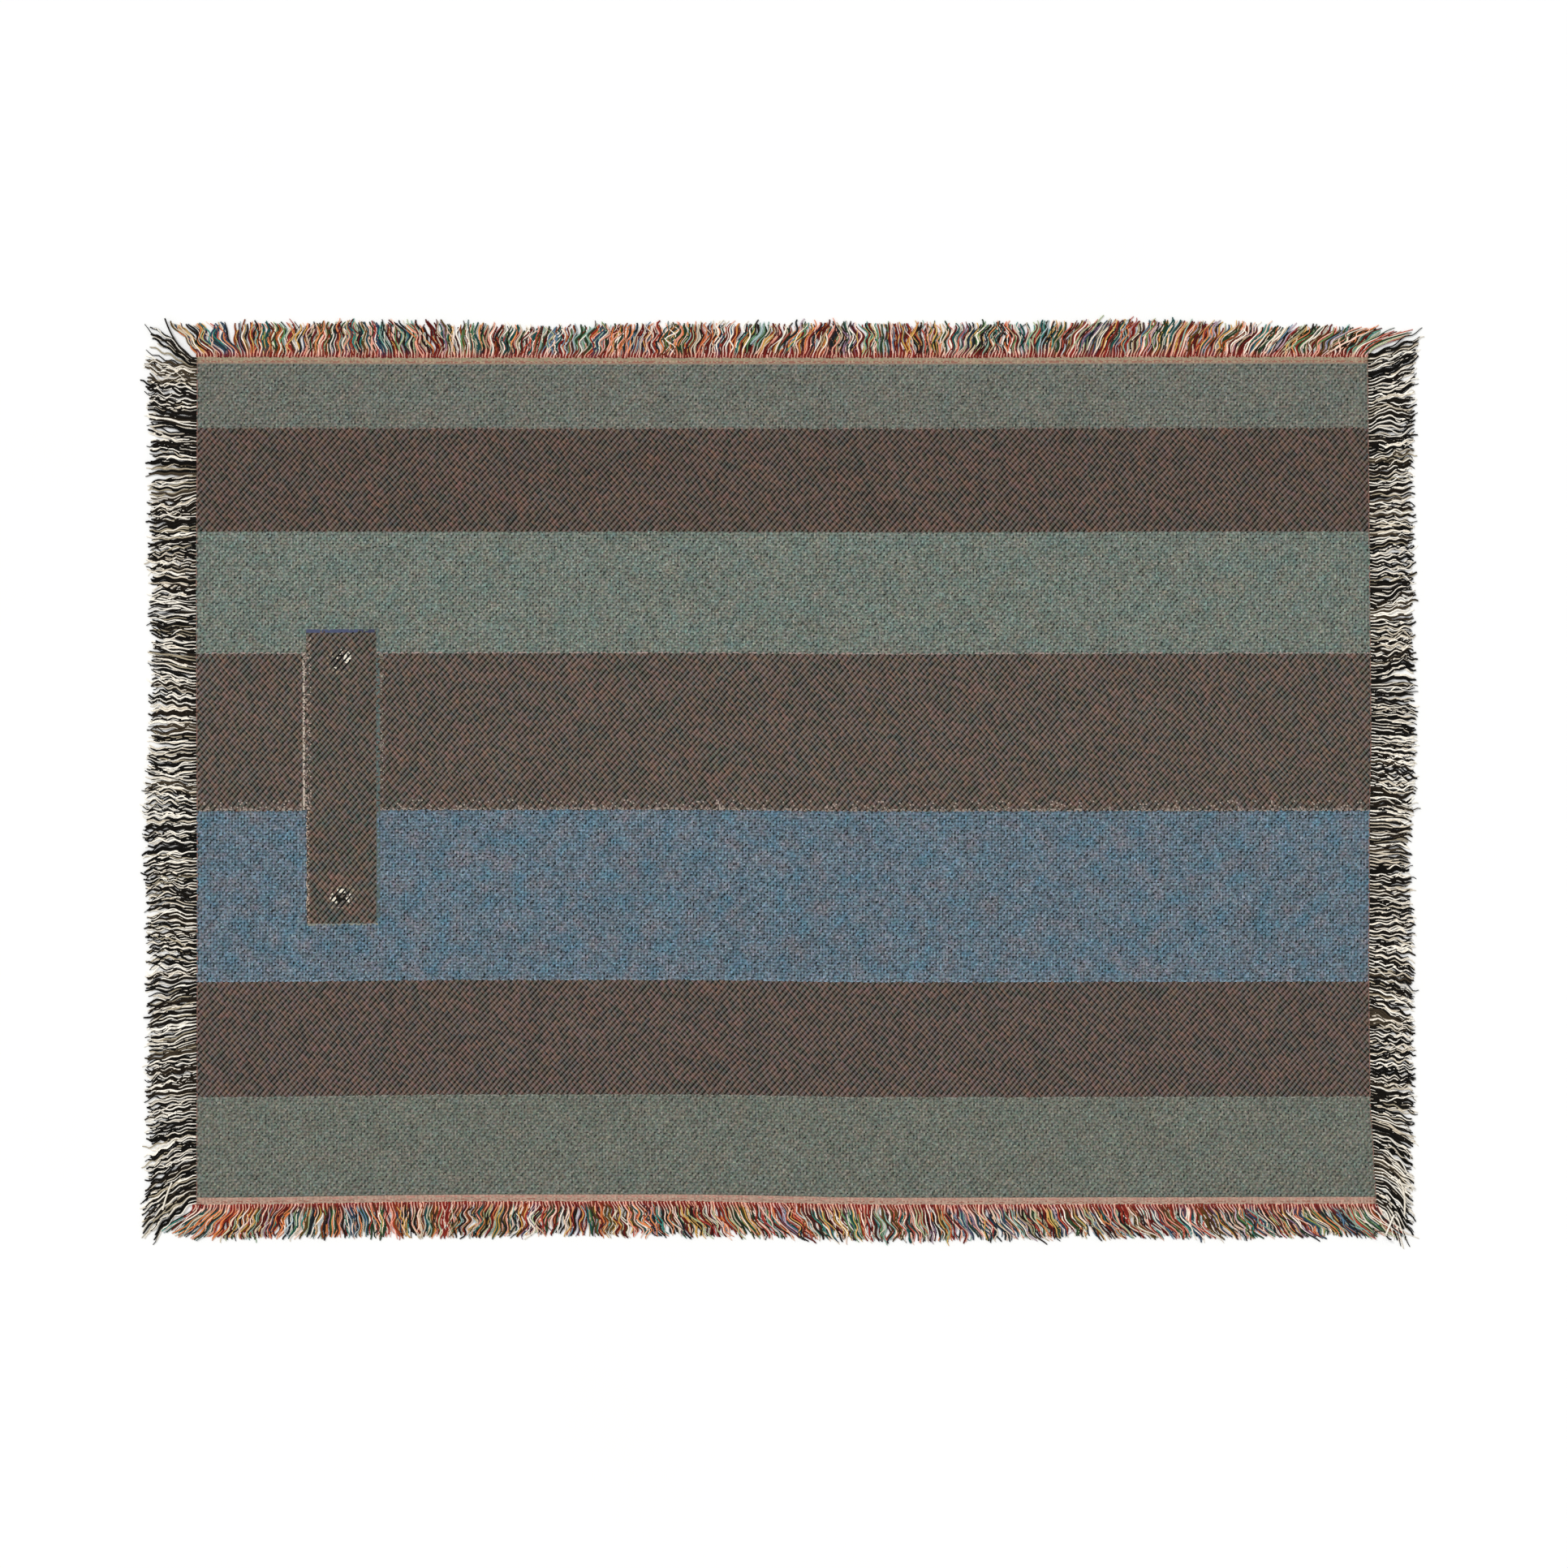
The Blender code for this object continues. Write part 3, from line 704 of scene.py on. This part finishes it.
# %% Tables of reach, lean and gaps
# Columns: share of the side, millimetres that the tips reach beyond the strip, sideways travel for each
# millimetre outwards (to the right, or downwards on the two short sides).
LIES = {
    "top": (
        (0.00, 36, -0.80), (0.015, 36, -0.66), (0.022, 38, -0.45), (0.045, 37, -0.10), (0.11, 38, 0.20),
        (0.17, 40, -0.30), (0.20, 38, -0.25), (0.26, 37, 0.10), (0.29, 34, 0.25), (0.35, 36, 0.35), (0.41, 38, 0.15),
        (0.50, 38, 0.50), (0.56, 38, 0.00), (0.62, 38, -0.05), (0.66, 37, 0.35), (0.695, 37, -0.05),
        (0.72, 39, 0.25), (0.75, 40, 0.60), (0.81, 40, 0.30), (0.87, 37, 0.60), (0.90, 34, 0.75),
        (0.96, 33, 0.85), (0.985, 31, 1.25), (0.993, 28, 1.70), (1.00, 23, 2.35),
    ),
    "bottom": (
        (0.00, 28, -1.30), (0.015, 34, -1.02), (0.03, 38, -0.75), (0.05, 39, -0.30), (0.08, 37, -0.35),
        (0.14, 38, 0.15), (0.20, 39, 0.00), (0.24, 39, -0.30), (0.30, 38, -0.10), (0.36, 38, 0.30),
        (0.45, 39, 0.55), (0.53, 40, 0.55), (0.57, 40, 0.22), (0.62, 41, 0.25), (0.69, 38, 0.65),
        (0.72, 37, 0.45), (0.77, 37, 0.75), (0.84, 39, 0.60), (0.90, 37, 0.80), (0.96, 37, 0.85),
        (0.985, 36, 0.95), (1.00, 36, 0.95),
    ),
    "left": (
        (0.00, 46, -0.76), (0.008, 47, -0.62), (0.012, 54, -0.36), (0.03, 52, -0.24), (0.05, 51, -0.16),
        (0.12, 48, -0.05), (0.17, 48, 0.20), (0.24, 48, 0.05), (0.32, 46, -0.05), (0.36, 45, -0.20),
        (0.44, 48, 0.00), (0.52, 54, -0.05), (0.60, 54, 0.15), (0.68, 51, -0.10), (0.715, 51, 0.00),
        (0.74, 50, 0.25), (0.82, 51, 0.20), (0.90, 52, 0.20), (0.94, 50, 0.50), (0.97, 58, 0.62),
        (0.988, 56, 0.78), (1.00, 38, 1.15),
    ),
    "right": (
        (0.00, 55, -0.42), (0.02, 52, -0.45), (0.06, 47, -0.20), (0.15, 45, -0.15), (0.20, 45, 0.00),
        (0.26, 44, -0.15), (0.36, 44, -0.10), (0.42, 46, 0.10), (0.50, 45, 0.15), (0.59, 40, 0.05),
        (0.68, 45, 0.05), (0.72, 46, 0.25), (0.75, 45, 0.35), (0.82, 45, 0.05), (0.88, 45, 0.25),
        (0.92, 39, 0.60), (0.96, 38, 0.80), (0.98, 38, 1.05), (0.99, 32, 1.35), (1.00, 20, 2.30),
    ),
}
# Columns: share of the side, width of the gap in millimetres, share of the length where it opens, 1 if the strands
# close again at their tips.
PARTINGS = {
    "top": ((0.010, 8, 0.3, 0), (0.036, 12, 0.3, 0), (0.709, 9, 0.3, 0)),
    "bottom": ((0.33, 6, 0.4, 0), (0.80, 6, 0.45, 0)),
    "left": (
        (0.011, 11, 0.2, 0), (0.024, 5, 0.3, 0), (0.046, 8, 0.3, 1), (0.090, 9, 0.25, 1), (0.125, 8, 0.4, 0),
        (0.27, 7, 0.45, 0), (0.44, 6, 0.4, 1), (0.635, 7, 0.4, 0), (0.745, 12, 0.35, 0), (0.92, 9, 0.4, 0),
        (0.985, 6, 0.1, 1),
    ),
    "right": ((0.06, 6, 0.35, 1), (0.31, 6, 0.45, 0), (0.55, 6, 0.4, 1), (0.755, 8, 0.4, 0), (0.93, 6, 0.4, 1)),
}
# Strands that lie across the others, or stand out from them.
# Columns: colour, thickness, then start, the point it bends towards and end, in millimetres from the top left
# corner of the cloth.
STRAYS = {
    "top": (),
    "bottom": (("#3a302b", 1.4, (1337.5, 976.6), (1322.0, 974.0), (1325.2, 983.5)),),
    "left": (
        ("#1c1610", 1.9, (-1.4, -4.1), (-23.3, -16.0), (-34.7, -50.2)),
        ("#f3ebdb", 2.0, (-26.8, 921.4), (-32.9, 934.4), (-37.3, 952.2)),
    ),
    "right": (
        ("#f6efe2", 2.1, (1347.3, 957.7), (1342.7, 968.8), (1338.1, 980.0)),
        ("#1c1610", 1.9, (1338.9, 981.4), (1340.5, 985.0), (1344.4, 985.6)),
        ("#efe6d5", 2.0, (1352.5, 917.9), (1361.0, 930.0), (1358.9, 958.1)),
        ("#f3ebdb", 1.9, (1369.6, 926.3), (1366.0, 924.0), (1359.7, 927.7)),
    ),
}
print("rows of the lie tables:", {side: len(rows) for side, rows in LIES.items()})


# %% What neighbouring strands share
RINGS, CORNERS = 17, 4
# Columns: millimetres of the long swing, millimetres of the short curl, curls for each millimetre, how hard the
# strands cling together, millimetres by which their roots and their tips are out of line.
MANNERS = {
    "top": (2.4, 2.2, 0.044, 0.20, 0.9, 2.2), "bottom": (2.4, 2.2, 0.044, 0.20, 0.9, 2.2),
    "left": (2.4, 1.5, 0.060, 0.35, 0.0, 3.2), "right": (2.4, 1.5, 0.060, 0.35, 0.0, 2.6),
}


def drift(values, shares):
    """Eases from each value to the next along the side. The values are evenly spaced."""
    return eased(np.column_stack([np.linspace(0, 1, len(values)), values]), shares)[:, None]


def habits(side, rng):
    """Random values along the side: a long swing, a short curl, where in its turn each one starts, and clumps."""
    length = side_length(side)
    swing, curl, turns = MANNERS[side][:3]

    def values(every, middle, spread):
        return rng.normal(middle, spread, int(length / every))

    return {
        "swing": values(0.026, 0.0, swing * MM), "swing_start": values(0.034, 0.4, 1.1),
        "curl": values(0.018, curl * MM, 0.4 * curl * MM), "curl_start": values(0.013, 0.0, 1.2),
        "curl_turns": values(0.030, turns, 0.15 * turns),
        "clumps": np.cumsum(rng.uniform(0.007, 0.019, int(length / 0.009))),
    }


# %% Swing, curl, clumps and partings
# In metres: how far the clumps of a layer move for a whole step of its strands, the furthest that a clump pulls a
# strand, and how far from a parting its push has faded to a third.
CLUMP_SHIFT, FURTHEST_PULL, PARTING_REACH = 0.013, 0.01, 0.011


def swung(aside, shares, gone, free, habit, rng, wild):
    """Adds the shared swing and curl, and a wave of the strand's own. Each is a sine less its value at the root,
    times a power of the free share of the strand."""
    each = (len(shares), 1)
    start = drift(habit["swing_start"], shares)
    swing = np.sin(TURN * 0.95 * free + start) - np.sin(start)
    aside += drift(habit["swing"], shares) * swing * free ** 0.5 * (1.15 - 0.5 * free)
    start = drift(habit["curl_start"], shares) + rng.normal(0, 0.25 + 0.8 * wild, each)
    turns = drift(habit["curl_turns"], shares)
    curl = np.sin(TURN * turns * gone / MM + start) - np.sin(start)
    aside += drift(habit["curl"], shares) * curl * free ** 0.3
    own = rng.normal(0, 0.4 + 1.0 * wild, each) * MM
    turns, start = rng.uniform(1.2, 2.6, each), rng.uniform(0, TURN, each)
    return aside + own * (np.sin(TURN * turns * free + start) - np.sin(start)) * free ** 0.6


def gathered(aside, side, shares, free, clumps, rng):
    """Adds a pull to the middle of the nearest clump, which grows with the square of the free share of the strand,
    and a push away from each parting, which is e to the power of minus the distance over the reach."""
    length = side_length(side)
    place = shares * length
    nearest = clumps[np.argmin(np.abs(place[:, None] - clumps), axis=1)]
    pull = rng.uniform(0.4, 1.6, len(shares)) * MANNERS[side][3]
    aside += (np.clip(nearest - place, -FURTHEST_PULL, FURTHEST_PULL) * pull)[:, None] * free ** 2
    for share, wide, opens, closes in PARTINGS[side]:
        beside = place - share * length
        push = np.sign(beside) * np.exp(-np.abs(beside) / PARTING_REACH) * wide * MM / 2
        after = np.clip((free - opens) / (1 - opens), 0, 1)
        aside += push[:, None] * (np.sin(np.pi * after) if closes else after ** 0.8)
    return aside


# %% Middle lines of the strands
def strand_lines(side, count, shift, habit, rng, wild):
    """Out goes evenly from the root to the tip. Sideways is lean times reach times a power of the free share of the
    strand, and what the swing, the clumps and the partings add to it."""
    first_corner, last_corner, _, strip, over, root = SIDES[side]
    ragged, uneven = MANNERS[side][4:]
    length = side_length(side)
    shares = (np.arange(count) + shift + rng.uniform(-0.2, 0.2, count)) / count
    lie = np.array(LIES[side])
    reach = (np.interp(shares, lie[:, 0], lie[:, 1]) + rng.normal(-0.6 * uneven, uneven, count)) * MM
    lean = np.interp(shares, lie[:, 0], lie[:, 2])[:, None] + rng.normal(0, 0.03 + 0.10 * wild, (count, 1))
    tip = GAP + strip + reach
    start = root - TUCK / 2 + rng.uniform(-ragged, ragged, count) * MM
    out = start[:, None] + (tip - start)[:, None] * np.linspace(0, 1, RINGS)
    gone = np.maximum(out - root, 0)
    free = gone / (tip - root)[:, None]
    aside = lean * reach[:, None] * free ** (1.05 + 0.4 * np.abs(lean))
    aside = swung(aside, shares, gone, free, habit, rng, wild)
    aside = gathered(aside, side, shares, free, habit["clumps"] + shift * CLUMP_SHIFT, rng)
    stretch = 1 + 2 * over / length
    base = edge_line(side, (shares * stretch - over / length)[:, None], out, HOME)
    return base + aside[..., None] * (np.subtract(last_corner, first_corner) / length), free


def stray_line(start, towards, end):
    """A bent line: the start fades out, the end fades in, and the point it bends towards pulls in the middle."""
    t = np.linspace(0, 1, RINGS)[:, None]
    down = np.array((1, -1)) * MM
    bent = (1 - t) ** 2 * (start * down) + 2 * t * (1 - t) * (towards * down) + t ** 2 * (end * down)
    return HOME + TOP_LEFT + bent


# %% Tubes round the middle lines
def tubes(plan, heights, radius):
    """Each ring is a circle across the line: middle plus radius times cosine sideways and sine upwards."""
    count, rings = plan.shape[:2]
    line = np.concatenate([plan, heights[..., None]], axis=2)
    run = np.gradient(line, axis=1)
    run /= np.linalg.norm(run, axis=2, keepdims=True)
    sideways = np.stack([-run[..., 1], run[..., 0], np.zeros(run.shape[:2])], axis=2)
    sideways /= np.linalg.norm(sideways, axis=2, keepdims=True)
    upwards = np.cross(run, sideways)
    turn = np.linspace(0, TURN, CORNERS + 1)[:-1]
    spoke = sideways[:, :, None] * np.cos(turn)[:, None] + upwards[:, :, None] * np.sin(turn)[:, None]
    points = line[:, :, None] + spoke * radius[:, :, None, None]
    strand = np.arange(count)[:, None, None] * rings * CORNERS
    ring, corner = np.arange(rings - 1)[:, None] * CORNERS, np.arange(CORNERS)
    here, there = strand + ring + corner, strand + ring + (corner + 1) % CORNERS
    quads = np.stack([here, there, there + CORNERS, here + CORNERS], axis=3).reshape(-1, 4)
    ends = np.stack([corner[::-1], (rings - 1) * CORNERS + corner])
    caps = (strand + ends).reshape(-1, CORNERS)
    gone = np.cumsum(np.linalg.norm(np.diff(line, axis=1, prepend=line[:, :1]), axis=2), axis=1)
    low, high = np.arange(CORNERS) / CORNERS, (np.arange(CORNERS) + 1) / CORNERS
    before, after = gone[:, :-1, None], gone[:, 1:, None]
    sides = [np.broadcast_arrays(g, a) for g, a in ((before, low), (before, high), (after, high), (after, low))]
    uv = np.stack([np.stack(pair, axis=3) for pair in sides], axis=3).reshape(-1, 2)
    return points.reshape(-1, 3), [quads, caps], np.concatenate([uv, np.zeros((caps.size, 2))])


# %% [markdown]
# ### The yarn and its colours
#
# The top and bottom strands are the warp: deep red, orange, salmon, cream, ochre, greens, blues and near-black,
# each a thread of its own. The left and right strands are the weft: black and cream in turn. A thick layer of dark
# strands lies lowest on each side and also stands for painted shade between the strands above it. The colours ride
# on the mesh as an attribute, so that one material serves every strand, and the material only adds the twist.

# %% Colours of the strands
# Columns: colour, how often it comes. The dark strands are dark yarn. The thickest of them lie low, between the light
# ones, and stand for painted shade there as well.
PALE_WARP = (
    ("#fbf0e0", 4.4), ("#f5d2be", 3.0), ("#eaa58e", 2.6), ("#dcae60", 1.6), ("#e08a54", 1.5), ("#b2bd92", 1.5),
    ("#b0c0c4", 0.9), ("#bfaab6", 0.7), ("#d6c7ae", 2.2), ("#8fb0a2", 1.2),
)
BRIGHT_WARP = (
    ("#c4543f", 2.5), ("#dd7d42", 2.0), ("#cf9f4a", 1.6), ("#5f8c58", 2.0), ("#35877b", 1.9), ("#5f8199", 1.2),
    ("#a83a32", 2.0), ("#8d6f88", 0.8), ("#b09a78", 1.8),
)
DARK_WARP_AND_SHADE = (
    ("#5e1612", 3.0), ("#8a2a1f", 1.4), ("#211610", 3.6), ("#1b2226", 2.4), ("#263d24", 2.0), ("#1d4f4b", 1.4),
    ("#2c4258", 1.0), ("#55411b", 1.2), ("#8a4219", 1.2), ("#44241f", 2.0),
)
PALE_WEFT = (("#fff9ec", 4.0), ("#f5ecdc", 3.0), ("#d9cdb8", 1.8), ("#b0a48b", 1.0))
DARK_WEFT_AND_SHADE = (("#080603", 3.6), ("#120d08", 3.0), ("#211910", 1.6), ("#42382a", 0.6))
ROOT_PALE, ROOT_DARK = "#f2b4a2", "#84241c"


def picked(rng, table, count):
    """Linear colours drawn from a table by how often each comes, each a little lighter or darker. Where a strand
    lies beside one of its own colour, it repeats the last colour that was drawn."""
    colours = np.array([linear(code)[:3] for code, _ in table])
    often = np.array([share for _, share in table])
    drawn = rng.choice(len(table), count, p=often / often.sum())
    last = np.maximum.accumulate(np.where(rng.random(count) < 0.35, 0, np.arange(count)))
    return colours[drawn[last]] * rng.uniform(0.85, 1.15, (count, 1))


# %% Cotton yarn, matt, twisted from two plies
TWIST = 5 * MM


def twisted_yarn(name):
    """The strand's own colour, a little darker in the groove that winds round it once in every twist: painted shade.
    """
    material, tree, shader = new_material(name)
    turns = add(tree, "VectorMath", {0: add(tree, "UVMap", {}), 1: (TURN / TWIST, TURN, 0)},
                out="Value", operation="DOT_PRODUCT")
    ply = maths(tree, "SINE", turns)
    fuzz = add(tree, "TexNoise", {"Vector": add(tree, "TexCoord", {}, out="Object"), "Scale": 900.0})
    # The ply wave is the bump's height and also paints shade into the groove between the plies.
    tone = sum_of(tree, 0.8, (ply, 0.07), (fuzz, 0.4))
    colour = shaded(tree, add(tree, "Attribute", {}, attribute_name="yarn"), tone)
    bump = add(tree, "Bump", {"Strength": 0.5, "Distance": 0.2 * MM, "Height": ply})
    fill(tree, shader, {"Base Color": colour, "Normal": bump, "Roughness": 0.88, "Specular IOR Level": 0.12,
                        "Sheen Weight": 0.03, "Sheen Roughness": 0.5})
    return material


WARP_YARN, WEFT_YARN = twisted_yarn("two-ply warp cotton"), twisted_yarn("two-ply weft cotton")
print("yarns:", WARP_YARN.name, "and", WEFT_YARN.name)


# %% Strands of a layer, and strands that stray
STRAY_HEIGHT = 4.2 * MM


def layered_strands(side, layer, habit, rng):
    """Middle lines, heights, radii and colours. The radius falls to half at the tip, the height is an arch over the
    strand with a slow wave in it, and the colour at the root fades out along the strand."""
    count, shift, table, root_code, thick, lift, wild = layer
    plan, free = strand_lines(side, count, shift, habit, rng, wild)
    radius = thick / 2 * rng.uniform(0.85, 1.15, (count, 1)) * (1 - 0.5 * free ** 4)
    turns, start = rng.uniform(0.4, 1.2, (count, 1)), rng.uniform(0, TURN, (count, 1))
    wavy = 0.75 + 0.25 * np.sin(TURN * turns * free + start)
    rise = lift * rng.uniform(0.3, 1.0, (count, 1)) * wavy * np.sin(np.pi * (0.12 + 0.8 * free))
    yarn = picked(rng, table, count)[:, None, :]
    if root_code:
        near = np.clip(1 - free / rng.uniform(0.12, 0.42, (count, 1)), 0, 1)[..., None] * 0.85
        yarn = yarn * (1 - near) + np.array(linear(root_code)[:3]) * near
    return plan, radius + rise, radius, np.broadcast_to(yarn, (*free.shape, 3))


def stray_strand(code, thick, *bends):
    """Middle line, height, radius and colour of a strand that lies over the others."""
    one = (1, RINGS)
    colour = np.broadcast_to(linear(code)[:3], (*one, 3))
    return stray_line(*np.array(bends))[None], np.full(one, STRAY_HEIGHT), np.full(one, thick / 2 * MM), colour


# %% Make a fringe from its layers and its strays
def make_fringe(side, layers, finish, seed):
    """One piece with every strand of a side. Each colour is given to all the corners of its ring."""
    rng = np.random.default_rng(seed)
    habit = habits(side, rng)
    strands = [layered_strands(side, layer, habit, rng) for layer in layers]
    strands += [stray_strand(*stray) for stray in STRAYS[side]]
    plan, high, radius, shade = (np.concatenate(parts) for parts in zip(*strands))
    points, faces, uv = tubes(plan, high, radius)
    colours = np.ones((len(plan), RINGS, CORNERS, 4))
    colours[..., :3] = shade[:, :, None]
    piece = make_piece(side + "_strands", points, faces, uv, finish, colours.reshape(-1, 4))
    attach(piece, "root")
    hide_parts(side + "_fringe")
    return piece


# Columns: strands, where in its step each one starts, colours, colour at the root, thickness, height, how wild.
# The first layer of each is thick, dark and lowest: dark yarn that also stands for painted shade between the strands
# above it.
WARP_LAYERS = (
    (380, 0.25, DARK_WARP_AND_SHADE, ROOT_DARK, 2.8 * MM, 0.1 * MM, 0.1),
    (380, 0.75, PALE_WARP, ROOT_PALE, 1.9 * MM, 1.5 * MM, 0.3),
    (250, 0.50, BRIGHT_WARP, ROOT_PALE, 1.7 * MM, 2.2 * MM, 0.7),
    (150, 0.25, DARK_WARP_AND_SHADE, ROOT_DARK, 1.7 * MM, 2.5 * MM, 0.7),
    (180, 0.75, PALE_WARP, ROOT_PALE, 1.6 * MM, 3.0 * MM, 1.2),
)
WEFT_LAYERS = (
    (270, 0.25, DARK_WEFT_AND_SHADE, None, 3.2 * MM, 0.1 * MM, 0.2),
    (270, 0.75, PALE_WEFT, None, 2.05 * MM, 1.5 * MM, 0.3),
    (190, 0.25, DARK_WEFT_AND_SHADE, None, 1.7 * MM, 2.3 * MM, 0.7),
    (130, 0.75, PALE_WEFT, None, 1.7 * MM, 2.7 * MM, 0.8),
    (45, 0.50, PALE_WEFT, None, 1.6 * MM, 3.4 * MM, 1.6),
)
fringes = [
    make_fringe("top", WARP_LAYERS, WARP_YARN, 11),
    make_fringe("bottom", WARP_LAYERS, WARP_YARN, 12),
    make_fringe("left", WEFT_LAYERS, WEFT_YARN, 13),
    make_fringe("right", WEFT_LAYERS, WEFT_YARN, 14),
]
